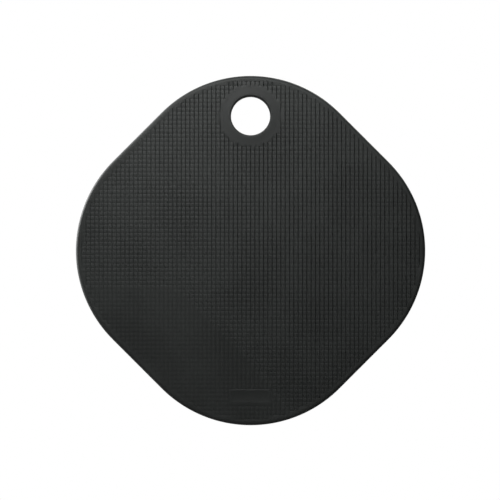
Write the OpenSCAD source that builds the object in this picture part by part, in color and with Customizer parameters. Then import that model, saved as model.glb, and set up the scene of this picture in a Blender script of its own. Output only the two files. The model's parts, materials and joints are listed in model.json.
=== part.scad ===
// Bluetooth tracker tag: a black rounded-square tag that hangs by one corner from a key ring.
//
// Each piece is drawn flat first: X to the right, Y up towards the key-ring hole, Z out of the
// front face, with the middle of the outline and of the thickness at zero. hang() then stands it
// up by the hole, so in the finished part the hole's axis runs along Y, the front looks along -Y
// and +Z is up.

/* [Outline] */
// Width of the tag across two parallel flat sides
side = 39; // [35:0.1:50]
// Thickness of the tag, front face to back face
thick = 9.5; // [9.2:0.1:13]
// Radius of the four outline corners, seen from the front
corner_r = 15.3; // [12:0.1:17]
// Radius of the front cover's edge
front_edge_r = 0.4; // [0.2:0.05:0.9]
// Radius of the back cover's edge
back_edge_r = 1.1; // [0.3:0.05:1.15]

/* [Key-ring hole] */
// Radius of the hole
hole_r = 2.4; // [1.8:0.1:3]
// Width of the land between the hole's edge and the tip of its corner
hole_land = 2.42; // [2.3:0.01:3.5]
// Wall of the tube that lines the hole
tube_wall = 0.8; // [0.5:0.05:1]
// Width of the smooth raised rim round the hole on the front
rim_ring_w = 1.5; // [1:0.1:1.7]
// Height of that rim at the hole
rim_ring_h = 0.1; // [0.05:0.05:0.4]
// Bevel at both mouths of the hole
mouth_bevel = 0.15; // [0.05:0.05:0.3]

/* [Walls] */
// Front cover, behind the textured face
front_wall = 1.1; // [0.9:0.05:1.2]
// Back cover, behind the flat face
back_wall = 1; // [0.8:0.05:1.2]
// Side wall of both covers
skirt = 1.2; // [1:0.05:1.4]
// Wall of the chassis inside the covers
rim_wall = 0.9; // [0.7:0.05:1.1]
// Floor of the chassis that carries the circuit board
floor_t = 0.9; // [0.7:0.05:1.1]
// Height of the chassis band that shows between the covers
band_h = 0.5; // [0.3:0.05:0.7]
// Height of the middle of that band
band_z = 0; // [-0.2:0.05:0.3]

/* [Press action] */
// Travel of the front cover when it is pressed
travel = 0.25; // [0.15:0.05:0.35]
// Free space left at the end of the travel
end_gap = 0.1; // [0.05:0.05:0.15]
// How far the chassis wall stays below the end of the hole's tube
rim_step = 0.2; // [0.1:0.05:0.3]
// Length of each of the four hooks that hold the front cover
hook_l = 5; // [3:0.5:6]
// Height of a hook
hook_h = 0.8; // [0.6:0.05:0.9]
// How far a hook reaches in from the side wall
hook_reach = 0.35; // [0.2:0.05:0.5]
// Depth of a hook's top below the inside of the front face
hook_drop = 1.2; // [1:0.05:1.3]

/* [Battery] */
// Diameter of the coin cell
cell_d = 20; // [18:0.5:20]
// Height of the coin cell
cell_h = 3.2; // [2.5:0.1:3.2]
// Soft pad between the back cover and the cell
pad_t = 0.4; // [0.3:0.05:0.5]
// Side clearance of the cell in its well
cell_fit = 0.15; // [0.1:0.05:0.3]
// Wall of the battery well
well_wall = 0.85; // [0.6:0.05:1]
// Space for the contact between the cell and the board
contact_h = 0.45; // [0.35:0.05:0.6]
// Thickness of the contact strip
strip_t = 0.15; // [0.1:0.05:0.2]

/* [Circuit board] */
// Thickness of the board
board_t = 0.8; // [0.6:0.1:1]
// Clearance between the board and the chassis wall
board_fit = 0.2; // [0.1:0.05:0.4]
// Radius of a board screw's shank
screw_r = 0.6; // [0.5:0.05:0.7]
// Length of a board screw under its head
screw_l = 3; // [2.5:0.1:3.2]
// Radius of a screw boss
boss_r = 1.4; // [1.3:0.05:1.6]

/* [Sounder] */
// Radius of the brass disc
plate_r = 7.5; // [6:0.1:8]
// Radius of the ceramic disc
ceramic_r = 5; // [4:0.1:5.5]

/* [Fits] */
// Clearance between a cover's side wall and the chassis
cover_fit = 0.08; // [0.06:0.01:0.1]
// Clearance of the back cover round the hole's tube
tube_fit = 0.1; // [0.08:0.01:0.15]
// Clearance of a part that slides in its guide
slide_fit = 0.05; // [0.03:0.01:0.08]

/* [Hidden] */
$fn = 96;

black_plastic = [0.14, 0.145, 0.142];
grey_rubber = [0.3, 0.3, 0.31];
board_green = [0.05, 0.28, 0.16];
steel = [0.75, 0.75, 0.76];
brass = [0.83, 0.68, 0.33];
chip_black = [0.09, 0.09, 0.1];
copper_gold = [0.85, 0.62, 0.3];

// Overlap that makes a cut run clean through a face
cut = 0.2;

// Outline: all rings and plates share the four corner-arc centres
arc_c = side / 2 - corner_r;
tip = arc_c * sqrt(2) + corner_r;
hole_y = tip - hole_land - hole_r;
tube_r = hole_r + tube_wall;
rim_ring_r = hole_r + rim_ring_w;

// Radii of the nested walls, from the corner-arc centres
skirt_in = corner_r - skirt;
rim_out = skirt_in - cover_fit;
rim_in = rim_out - rim_wall;
board_r = rim_in - board_fit;
board_hole_r = tube_r + 0.3;
copper_t = 0.05;

// Heights through the thickness, from the back face to the front face
back_z = -thick / 2;
front_z = thick / 2;
back_in = back_z + back_wall;
front_in = front_z - front_wall;
pad_gap = 0.1;
cell_z = back_in + pad_t + pad_gap;
cell_top = cell_z + cell_h;
board_z = cell_top + contact_h;
board_top = board_z + board_t;
floor_z = board_z - floor_t;
rim_back = back_in + end_gap + 0.3;
tube_front = front_in - travel - end_gap;
rim_front = tube_front - rim_step;
band_top = band_z + band_h / 2;
band_bottom = band_z - band_h / 2;
band_inset = 0.1;
seam_gap = 0.05;
front_skirt_z = band_top + travel + end_gap;
back_skirt_z = band_bottom - seam_gap;

// Battery well, kept clear of the hole's tube
cell_r = cell_d / 2;
well_in = cell_r + cell_fit;
well_out = well_in + well_wall;
well_gap = 0.6;
cell_y = min(0, hole_y - tube_r - well_gap - well_out);
rib_t = 0.8;
rib_root = 0.3;
rib_l = arc_c + rim_in - well_out + 2 * rib_root - abs(cell_y);
finger_r = 3;

// Front-cover hooks and their windows in the chassis
hook_top = front_in - hook_drop;
hook_play = 0.03;
hook_side = 0.2;
hook_run = travel + end_gap;

// Post inside the front cover that pushes the switch
actuator_r = 1.2;

// Snap nibs inside the back cover and their dimples in the chassis
nib_ball = 0.6;
nib_h = cover_fit + 0.03;
nib_fit = 0.08;
nib_x = arc_c + skirt_in + nib_ball - nib_h;
nib_z = rim_back + 0.65;

// Seals round the chassis wall
seal_h = 0.5;
seal_depth = 0.4;
seal_proud = cover_fit - 0.03;
seal_fit = 0.02;
eyelet_fit = 0.1;
front_seal_z = band_top + 0.3;

// Notch for a coin at the bottom of the seam, with the rear seal beyond it
notch_r = 3.5;
notch_h = 0.9;
rear_seal_z = band_bottom - notch_h - 0.35 - seal_h;

// Blank pad on the lower front
mark_w = 4.7;
mark_l = 1.3;
mark_depth = 0.06;
mark_inset = 3.5;

// Board screws: one in each free corner
screw_reach = arc_c * sqrt(2) + board_r - 3.6;
screw_turns = [180, 270, 0];
screw_head_r = 1.1;
screw_head_h = 0.75;
screw_top = board_top + screw_head_h;
screw_hole_fit = 0.15;
screw_slot_l = 1.3;
screw_slot_w = 0.28;
screw_slot_h = 0.4;
pilot_spare = 0.15;

// Press switch, near the lower corner
switch_y = -screw_reach + screw_head_r + 2.4;
switch_w = 4;
switch_l = 3.2;
switch_h = 0.8;
switch_pocket_r = 1.3;
switch_floor = 0.2;
frame_t = 0.12;
plunger_r = 0.7;
plunger_flange_r = 1;
plunger_flange_t = 0.2;
plunger_base = board_top + switch_h - plunger_flange_t - 0.05;
plunger_top = board_top + switch_h + frame_t + 0.65;
touch_gap = 0.02;
dome_t = 0.06;
dome_r = 1.2;

// Sounder, bonded inside the front cover
piezo_y = 1;
glue_t = 0.1;
plate_t = 0.2;
ceramic_t = 0.15;
plate_z = front_in - glue_t - plate_t;
ceramic_z = plate_z - ceramic_t;
spring_w = 1.4;
spring_t = 0.12;

// Contacts of the coin cell
can_t = 0.25;
can_h = cell_h - 0.45;
cap_r = cell_r - 1.25;
cap_foot_r = cap_r + 0.4;
cell_gap = 0.02;
contact_turn = 215;
contact_w = 2.6;
window_in = 0.5;
window_out = 2.1;
window_side = 0.2;
window_up = 0.4;

// Stands a piece up by the key-ring hole
module hang() {
    translate([0, 0, -hole_y]) rotate([90, 0, 0]) children();
}

// Places children at the middle of each flat side, X pointing out of the tag
module each_flat() {
    for (turn = [45:90:315]) rotate(turn) children();
}

// Sweeps an edge section, drawn out from a corner-arc centre, round the whole tag
module around() {
    each_flat() translate([arc_c, arc_c, 0]) {
        rotate_extrude(angle = 90) children();
        rotate([90, 0, 0]) linear_extrude(2 * arc_c) children();
    }
}

// Plate of the tag's shape, r out from the corner-arc centres, with rounded top edges
module plate(r, z0, z1, edge = 0) {
    around() {
        translate([0, z0]) square([r, z1 - z0 - edge]);
        if (edge > 0) {
            translate([0, z1 - edge]) square([r - edge, edge]);
            translate([r - edge, z1 - edge]) intersection() {
                circle(edge);
                square(edge);
            }
        }
    }
    rotate(45) translate([-arc_c, -arc_c, z0]) cube([2 * arc_c, 2 * arc_c, z1 - z0]);
}

// Ring of the tag's shape between two distances from the corner-arc centres
module ring(r_in, r_out, z0, z1) {
    around() translate([r_in, z0]) square([r_out - r_in, z1 - z0]);
}

// Disc or tube standing on z0
module post(r, z0, z1) {
    translate([0, 0, z0]) cylinder(r = r, h = z1 - z0);
}

// Rectangular block centred on X and Y
module block(w, l, z0, z1) {
    translate([-w / 2, -l / 2, z0]) cube([w, l, z1 - z0]);
}

// ---- Covers and chassis ----

// Front cover: textured press panel with a side wall, four hooks and the switch actuator
module front_cover() {
    rim_top = front_z + rim_ring_h;
    color(black_plastic) hang() {
        difference() {
            union() {
                plate(corner_r, front_skirt_z, front_z, front_edge_r);
                translate([0, hole_y, 0]) rotate_extrude() polygon([
                    [0, front_z - front_wall / 2], [rim_ring_r, front_z - front_wall / 2],
                    [rim_ring_r, front_z], [hole_r, rim_top], [0, rim_top]]);
            }
            plate(skirt_in, front_skirt_z - cut, front_in);
            translate([0, hole_y, 0]) {
                post(hole_r, front_in - cut, rim_top + cut);
                translate([0, 0, rim_top - mouth_bevel])
                    cylinder(r1 = hole_r, r2 = hole_r + 2 * mouth_bevel, h = 2 * mouth_bevel);
            }
            translate([0, -tip + mark_inset, 0]) block(mark_w, mark_l, front_z - mark_depth, front_z + cut);
        }
        each_flat() translate([arc_c + skirt_in - hook_reach, -hook_l / 2, hook_top - hook_h])
            cube([hook_reach + skirt / 2, hook_l, hook_h]);
        translate([0, switch_y, 0]) post(actuator_r, plunger_top + touch_gap, front_in + front_wall / 2);
    }
}

// Back cover: pulls off to change the battery
module back_cover() {
    color(black_plastic) hang() {
        difference() {
            mirror([0, 0, 1]) plate(corner_r, -back_skirt_z, -back_z, back_edge_r);
            plate(skirt_in, back_in, back_skirt_z + cut);
            translate([0, hole_y, 0]) post(tube_r + tube_fit, back_z - cut, back_in + cut);
            translate([0, -tip - cut, back_skirt_z + notch_r - notch_h]) rotate([-90, 0, 0])
                cylinder(r = notch_r, h = skirt + 2 * cut);
        }
        each_flat() translate([nib_x, 0, nib_z]) sphere(nib_ball);
    }
}

// Chassis: carries the board, holds the battery and lines the key-ring hole
module chassis() {
    color(black_plastic) hang() {
        difference() {
            union() {
                ring(rim_in, rim_out, rim_back, rim_front);
                ring(rim_in, corner_r - band_inset, band_bottom, band_top);
                plate(rim_in, floor_z, board_z);
                translate([0, cell_y, 0]) post(well_out, cell_z, board_z);
                translate([0, hole_y, 0]) post(tube_r, back_z, tube_front);
                for (turn = screw_turns) rotate(turn) translate([screw_reach, 0, 0])
                    post(boss_r, board_z - screw_l - 2 * pilot_spare, board_z);
                for (turn = [45:90:315]) translate([0, cell_y, 0]) rotate(turn)
                    translate([well_out - rib_root, -rib_t / 2, rim_back])
                        cube([rib_l, rib_t, floor_z - rim_back]);
            }
            ring(rim_out - seal_depth, rim_out + cut, front_seal_z, front_seal_z + seal_h);
            ring(rim_out - seal_depth, rim_out + cut, rear_seal_z, rear_seal_z + seal_h);
            each_flat() {
                translate([arc_c + rim_in - cut, -hook_l / 2 - hook_side, hook_top - hook_h - hook_run])
                    cube([rim_wall + 2 * cut, hook_l + 2 * hook_side, hook_h + hook_run + hook_play]);
                translate([nib_x, 0, nib_z]) sphere(nib_ball + nib_fit);
            }
            translate([0, cell_y, 0]) post(well_in, cell_z - cut, board_z + cut);
            translate([0, hole_y, 0]) {
                post(hole_r, back_z - cut, tube_front + cut);
                translate([0, 0, back_z]) cylinder(r1 = hole_r + mouth_bevel, r2 = hole_r, h = mouth_bevel);
            }
            for (turn = screw_turns) rotate(turn) translate([screw_reach, 0, 0])
                post(screw_r, board_z - screw_l - pilot_spare, board_z + cut);
            // Window and pocket for the positive contact
            translate([0, cell_y, 0]) rotate(contact_turn)
                translate([well_in - window_in, -contact_w / 2 - window_side, cell_z + window_up])
                    cube([well_wall + window_in + window_out, contact_w + 2 * window_side, board_z - cell_z]);
            // Finger notch that lets the cell be lifted out
            translate([0, cell_y - well_in, cell_z - cut]) cylinder(r = finger_r, h = cell_h / 2 + cut);
        }
    }
}

// ---- Seals ----

// Ring that fills a groove of the chassis wall and stands proud of it
module wall_seal(z) {
    ring(rim_out - seal_depth + seal_fit, rim_out + seal_proud, z + seal_fit, z + seal_h - seal_fit);
}

// Silicone ring in the chassis wall, against the front cover
module front_seal() {
    color(grey_rubber) hang() wall_seal(front_seal_z);
}

// Silicone ring in the chassis wall, against the back cover
module rear_seal() {
    color(grey_rubber) hang() wall_seal(rear_seal_z);
}

// Flat silicone washer between the tube's end and the front cover
module eyelet_seal() {
    color(grey_rubber) hang() translate([0, hole_y, 0]) difference() {
        post(tube_r, tube_front, front_in - slide_fit);
        post(hole_r + eyelet_fit, tube_front - cut, front_in);
    }
}

// ---- Board and battery ----

// Circuit board with its cut-out for the hole's tube
module circuit_board() {
    color(board_green) hang() difference() {
        plate(board_r, board_z, board_top);
        translate([0, hole_y, 0]) post(board_hole_r, board_z - cut, board_top + cut);
        translate([-board_hole_r, hole_y, board_z - cut]) cube([2 * board_hole_r, tip, board_t + 2 * cut]);
        for (turn = screw_turns) rotate(turn) translate([screw_reach, 0, 0])
            post(screw_r + screw_hole_fit, board_z - cut, board_top + cut);
    }
}

// Three self-tapping screws with cross slots
module board_screws() {
    color(steel) hang() for (turn = screw_turns) rotate(turn) translate([screw_reach, 0, 0]) difference() {
        union() {
            post(screw_r, board_z - screw_l, board_top);
            post(screw_head_r, board_top, screw_top);
        }
        for (slot = [0, 90]) rotate(slot)
            block(screw_slot_l, screw_slot_w, screw_top - screw_slot_h, screw_top + cut);
    }
}

// Steel can of the coin cell, its flat side to the back
module cell_can() {
    color(steel) hang() translate([0, cell_y, cell_z]) rotate_extrude() polygon([
        [0, 0], [cell_r - 0.2, 0], [cell_r, 0.2], [cell_r, can_h - 0.25], [cell_r - 0.35, can_h],
        [cell_r - 0.6, can_h], [cell_r - can_t, can_h - 0.35], [cell_r - can_t, can_t], [0, can_t]]);
}

// Steel cap of the coin cell, with the cell's contents under it
module cell_cap() {
    color(steel) hang() translate([0, cell_y, cell_z]) rotate_extrude() polygon([
        [0, can_t + cell_gap], [cap_foot_r, can_t + cell_gap], [cap_foot_r, can_h - 0.7],
        [cap_r, can_h - 0.4], [cap_r, cell_h - 0.2], [cap_r - 0.2, cell_h], [0, cell_h]]);
}

// Plastic grommet between can and cap
module cell_grommet() {
    outer_r = cell_r - can_t - cell_gap;
    color(grey_rubber) hang() translate([0, cell_y, cell_z]) rotate_extrude() polygon([
        [cap_foot_r + cell_gap, can_t + cell_gap], [outer_r, can_t + cell_gap], [outer_r, can_h - 0.4],
        [cell_r - 0.65, can_h - cell_gap], [cap_r + cell_gap, can_h - cell_gap],
        [cap_r + cell_gap, can_h - 0.36], [cap_foot_r + cell_gap, can_h - 0.66]]);
}

// Sprung strip under the board that touches the cell's cap
module negative_contact() {
    arm = 6;
    tip_z = cell_top + 0.01;
    color(steel) hang() translate([0, cell_y, 0]) {
        block(2 * arm, contact_w, board_z - strip_t, board_z);
        for (turn = [0, 180]) rotate(turn) translate([0, contact_w / 2, 0]) rotate([90, 0, 0])
            linear_extrude(contact_w) polygon([
                [arm - 0.4, board_z - strip_t], [arm, board_z - strip_t], [arm - 1.6, tip_z],
                [arm - 2.6, tip_z], [arm - 2.6, tip_z + strip_t], [arm - 1.7, tip_z + strip_t]]);
    }
}

// Sprung strip at the side of the well that touches the cell's can
module positive_contact() {
    strip_x = cell_r + cell_gap;
    color(steel) hang() translate([0, cell_y, 0]) rotate(contact_turn) translate([0, contact_w / 2, 0])
        rotate([90, 0, 0]) linear_extrude(contact_w) polygon([
            [strip_x, cell_z + 1.6], [strip_x + 0.35, cell_z + 0.9], [strip_x + 0.5, cell_z + 0.95],
            [strip_x + strip_t, cell_z + 1.6], [strip_x + 0.3 + strip_t, board_z - strip_t],
            [strip_x + 2.2, board_z - strip_t], [strip_x + 2.2, board_z], [strip_x + 0.25, board_z]]);
}

// Foam pad stuck inside the back cover, which holds the cell down
module cell_pad() {
    color(chip_black) hang() translate([0, cell_y, 0]) post(cell_r - 4, back_in, back_in + pad_t);
}

// ---- Sounder ----

// Brass disc of the sounder
module piezo_plate() {
    color(brass) hang() translate([0, piezo_y, 0]) post(plate_r, plate_z, plate_z + plate_t);
}

// Ceramic disc of the sounder
module piezo_ceramic() {
    color("ivory") hang() translate([0, piezo_y, 0]) post(ceramic_r, ceramic_z, plate_z);
}

// Ring of adhesive that bonds the sounder to the front cover
module piezo_adhesive() {
    color("gainsboro") hang() translate([0, piezo_y, 0]) difference() {
        post(plate_r, front_in - glue_t, front_in);
        post(plate_r - 1.2, front_in - glue_t - cut, front_in + cut);
    }
}

// One sprung finger from the board up to a height
module spring_finger(top) {
    translate([0, spring_w / 2, 0]) rotate([90, 0, 0]) linear_extrude(spring_w) polygon([
        [-1.2, board_top], [1.1, board_top], [1.1, board_top + spring_t], [-0.9, board_top + spring_t],
        [0.9, top - spring_t], [1.1, top - spring_t], [1.1, top], [0.7, top]]);
}

// Two sprung fingers: to the ceramic and to the brass
module piezo_springs() {
    color(copper_gold) hang() translate([0, piezo_y, 0]) {
        spring_finger(ceramic_z - touch_gap);
        translate([(plate_r + ceramic_r) / 2 - 0.5, 0, 0]) spring_finger(plate_z - touch_gap);
    }
}

// ---- Press switch ----

// Moulded base of the switch, with the pocket for the dome
module switch_base() {
    color(chip_black) hang() translate([0, switch_y, 0]) difference() {
        block(switch_w, switch_l, board_top, board_top + switch_h);
        post(switch_pocket_r, board_top + switch_floor, board_top + switch_h + cut);
    }
}

// Metal cover plate of the switch, which guides the plunger
module switch_frame() {
    color(steel) hang() translate([0, switch_y, board_top + switch_h]) difference() {
        block(switch_w - 0.2, switch_l - 0.2, 0, frame_t);
        post(plunger_r + slide_fit, -cut, frame_t + cut);
    }
}

// Snap dome of the switch
module switch_dome() {
    base = board_top + switch_floor;
    rise = plunger_base - touch_gap - base;
    ball = (dome_r * dome_r + rise * rise) / (2 * rise);
    color(steel) hang() translate([0, switch_y, base]) intersection() {
        difference() {
            translate([0, 0, rise - ball]) sphere(ball);
            translate([0, 0, rise - ball]) sphere(ball - dome_t);
        }
        post(dome_r, 0, rise + cut);
    }
}

// Plunger of the switch
module switch_plunger() {
    color("dimgray") hang() translate([0, switch_y, 0]) {
        post(plunger_flange_r, plunger_base, plunger_base + plunger_flange_t);
        post(plunger_r, plunger_base + plunger_flange_t, plunger_top);
    }
}

// ---- Board electronics ----

// Radio chip under its shield
module radio_chip() {
    color(chip_black) hang() translate([-6.4, -4.4, 0]) block(4, 4, board_top, board_top + 0.6);
}

// Folded steel shield over the radio chip
module radio_shield() {
    color(steel) hang() translate([-6.4, -4.4, 0]) difference() {
        block(6.6, 6, board_top, board_top + 1.2);
        block(6.3, 5.7, board_top - cut, board_top + 1.05);
    }
}

// Metal-lidded crystal for the radio
module fast_crystal() {
    color(steel) hang() translate([-6.4, 0.2, 0]) {
        block(2.5, 2, board_top, board_top + 0.3);
        block(2.1, 1.6, board_top + 0.3, board_top + 0.5);
    }
}

// Metal-lidded crystal for the clock
module slow_crystal() {
    color(steel) hang() translate([-10.6, -3, 0]) {
        block(1.5, 3.2, board_top, board_top + 0.4);
        block(1.2, 2.8, board_top + 0.4, board_top + 0.8);
    }
}

// Wound coil that raises the sounder's voltage
module driver_coil() {
    color(chip_black) hang() translate([6.2, -5.6, 0]) {
        block(3, 3, board_top, board_top + 0.25);
        post(1.1, board_top + 0.25, board_top + 0.85);
        block(3, 3, board_top + 0.85, board_top + 1.1);
    }
}

// Transistor that drives the sounder, with three legs
module driver_transistor() {
    color(chip_black) hang() translate([10.4, -3.4, 0]) {
        block(1.3, 2.9, board_top + 0.1, board_top + 1);
        for (leg = [[-0.95, -0.95], [-0.95, 0.95], [0.95, 0]]) translate([leg[0], leg[1], 0])
            block(0.7, 0.4, board_top, board_top + 0.3);
    }
}

// Small ceramic capacitors
module capacitors() {
    places = [[-2.4, -7.2], [2.4, -7.2], [3.4, -5], [-10, 1.4], [9.4, 2.2], [-7, 6.6]];
    color("tan") hang() for (place = places)
        translate([place[0], place[1], 0]) block(1, 1.6, board_top, board_top + 0.8);
}

// Small chip resistors
module resistors() {
    places = [[-3.6, 2.6], [-3.6, 4.2], [4, 5.8], [6, 5.8], [10.2, 0], [-12.4, -1.6]];
    color(chip_black) hang() for (place = places)
        translate([place[0], place[1], 0]) block(1.6, 0.8, board_top, board_top + 0.45);
}

// Copper aerial printed along the board's upper left edge
module antenna_trace() {
    run = 0.5;
    pitch = 1.2;
    reach = 3.6;
    turns = 5;
    edge_gap = 0.6;
    color(copper_gold) hang() rotate(135)
        translate([arc_c + board_r - reach - edge_gap, -turns * pitch, board_top]) for (i = [0:turns]) {
            translate([0, 2 * i * pitch, 0]) cube([reach, run, copper_t]);
            if (i < turns) {
                translate([i % 2 == 0 ? reach - run : 0, 2 * i * pitch, 0])
                    cube([run, 2 * pitch + run, copper_t]);
            }
        }
}

// Bare test pads on the back of the board, inside the battery well
module test_pads() {
    color(copper_gold) hang() for (i = [-2:2]) translate([1.6 * i, cell_y - 5.5, 0])
        post(0.5, board_z - copper_t, board_z);
}

front_cover();
back_cover();
chassis();
front_seal();
rear_seal();
eyelet_seal();
circuit_board();
board_screws();
cell_can();
cell_cap();
cell_grommet();
negative_contact();
positive_contact();
cell_pad();
piezo_plate();
piezo_ceramic();
piezo_adhesive();
piezo_springs();
switch_base();
switch_frame();
switch_dome();
switch_plunger();
radio_chip();
radio_shield();
fast_crystal();
slow_crystal();
driver_coil();
driver_transistor();
capacitors();
resistors();
antenna_trace();
test_pads();
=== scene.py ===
"""Studio scene of a black tracker tag that hangs by one corner from a key ring.

The grooved front cover, the back cover, the seals, the foam pad and the coin cell's can are built
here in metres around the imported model. The other pieces keep their own shape and are dressed only.
"""

import json
import logging
import math
from dataclasses import dataclass, field
from enum import Enum

import bmesh
import bpy
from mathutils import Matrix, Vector


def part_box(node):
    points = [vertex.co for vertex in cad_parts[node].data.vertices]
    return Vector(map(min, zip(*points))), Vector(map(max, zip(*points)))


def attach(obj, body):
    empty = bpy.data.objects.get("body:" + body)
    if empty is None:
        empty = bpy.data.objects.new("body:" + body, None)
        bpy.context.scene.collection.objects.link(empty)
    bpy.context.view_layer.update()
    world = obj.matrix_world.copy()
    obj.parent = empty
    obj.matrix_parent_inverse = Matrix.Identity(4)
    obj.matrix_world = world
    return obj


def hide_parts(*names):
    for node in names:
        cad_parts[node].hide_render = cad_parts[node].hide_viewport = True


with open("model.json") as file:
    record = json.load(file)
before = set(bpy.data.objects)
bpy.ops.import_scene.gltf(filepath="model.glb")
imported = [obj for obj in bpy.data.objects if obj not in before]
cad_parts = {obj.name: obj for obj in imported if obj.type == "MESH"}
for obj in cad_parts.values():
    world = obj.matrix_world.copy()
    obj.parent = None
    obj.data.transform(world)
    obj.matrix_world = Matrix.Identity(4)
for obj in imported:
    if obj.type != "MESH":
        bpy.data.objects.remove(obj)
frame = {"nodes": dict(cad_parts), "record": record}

MM = 0.001
QUARTER_TURN = math.pi / 2
DIAGONAL = math.sqrt(2)
log = logging.getLogger("tracker_tag")

Colour = tuple[float, float, float]
Profile = list[tuple[float, float]]
Ring = list[bmesh.types.BMVert]


# ---- Node trees written as expressions ----


class Number:
    """Number on a node's socket, for a tree that is written as Python expressions."""

    def __init__(self, book: "NodeBook", socket: bpy.types.NodeSocket) -> None:
        """Args: book: the tree's helper. socket: the output that holds the number."""
        self.book = book
        self.socket = socket

    def __add__(self, other: "Number | float") -> "Number":
        """Sum."""
        return self.book.maths("ADD", self, other)

    def __sub__(self, other: "Number | float") -> "Number":
        """Difference."""
        return self.book.maths("SUBTRACT", self, other)

    def __rsub__(self, other: float) -> "Number":
        """Difference from a plain number."""
        return self.book.maths("SUBTRACT", other, self)

    def __mul__(self, other: "Number | float") -> "Number":
        """Product."""
        return self.book.maths("MULTIPLY", self, other)

    def __truediv__(self, other: "Number | float") -> "Number":
        """Quotient."""
        return self.book.maths("DIVIDE", self, other)

    def __lt__(self, other: "Number | float") -> "Number":
        """One where this is below the other, else zero."""
        return self.book.maths("LESS_THAN", self, other)

    def __gt__(self, other: "Number | float") -> "Number":
        """One where this is above the other, else zero."""
        return self.book.maths("GREATER_THAN", self, other)

    def __abs__(self) -> "Number":
        """Size without sign."""
        return self.book.maths("ABSOLUTE", self)

    __radd__ = __add__
    __rmul__ = __mul__

    def rounded(self) -> "Number":
        """Nearest whole number."""
        return self.book.maths("ROUND", self)

    def at_least(self, other: "Number | float") -> "Number":
        """The larger of the two."""
        return self.book.maths("MAXIMUM", self, other)

    def at_most(self, other: "Number | float") -> "Number":
        """The smaller of the two."""
        return self.book.maths("MINIMUM", self, other)

    def hypot(self, other: "Number") -> "Number":
        """Length of the pair."""
        return self.book.maths("SQRT", self * self + other * other)

    def ramp(self, start: float, end: float) -> "Number":
        """Builds a smooth step.

        Args:
            start: where it is still zero.
            end: where it has reached one.

        Returns:
            The step, from zero to one.
        """
        node = self.book.add(
            "ShaderNodeMapRange",
            {"interpolation_type": "SMOOTHSTEP"},
            {"Value": self, "From Min": start, "From Max": end},
        )
        return Number(self.book, node.outputs["Result"])


class NodeBook:
    """Adds nodes to one shader or geometry tree."""

    def __init__(self, tree: bpy.types.NodeTree) -> None:
        """Args: tree: the tree that the nodes go into."""
        self.tree = tree

    def add(self, kind: str, settings: dict | None = None, sockets: dict | None = None) -> bpy.types.Node:
        """Adds one node.

        Args:
            kind: the node's type.
            settings: properties, set before the sockets.
            sockets: values or links, by socket name or number.

        Returns:
            The new node.
        """
        node = self.tree.nodes.new(kind)
        for name, value in (settings or {}).items():
            setattr(node, name, value)
        for key, value in (sockets or {}).items():
            self.feed(node.inputs[key], value)
        return node

    def feed(self, socket: bpy.types.NodeSocket, value: object) -> None:
        """Links or sets a socket.

        Args:
            socket: the input to fill.
            value: a Number, another node's output, or a constant.
        """
        source = value.socket if isinstance(value, Number) else value
        if isinstance(source, bpy.types.NodeSocket):
            self.tree.links.new(source, socket)
        else:
            socket.default_value = source

    def maths(self, operation: str, *values: "Number | float") -> Number:
        """Adds a Math node and returns its result."""
        node = self.add("ShaderNodeMath", {"operation": operation}, dict(enumerate(values)))
        return Number(self, node.outputs[0])

    def mix(self, factor: "Number | float", low: Colour, high: Colour) -> bpy.types.NodeSocket:
        """Blends two colours, low at factor zero and high at one, and returns the result."""
        sockets = {0: factor, 6: (*low, 1.0), 7: (*high, 1.0)}
        return self.add("ShaderNodeMix", {"data_type": "RGBA"}, sockets).outputs[2]

    def split(self, vector: bpy.types.NodeSocket) -> list[Number]:
        """Returns the three parts of a vector."""
        node = self.add("ShaderNodeSeparateXYZ", sockets={0: vector})
        return [Number(self, output) for output in node.outputs]


# ---- Finishes ----


class Grain(Enum):
    """Kinds of surface relief."""

    SPARK = "spark-eroded mould texture"
    BRUSHED = "drawn or rolled metal"
    TURNED = "rings round an axis along Y"
    FOAM = "open cells"
    SATIN = "fine soft grain"


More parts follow.
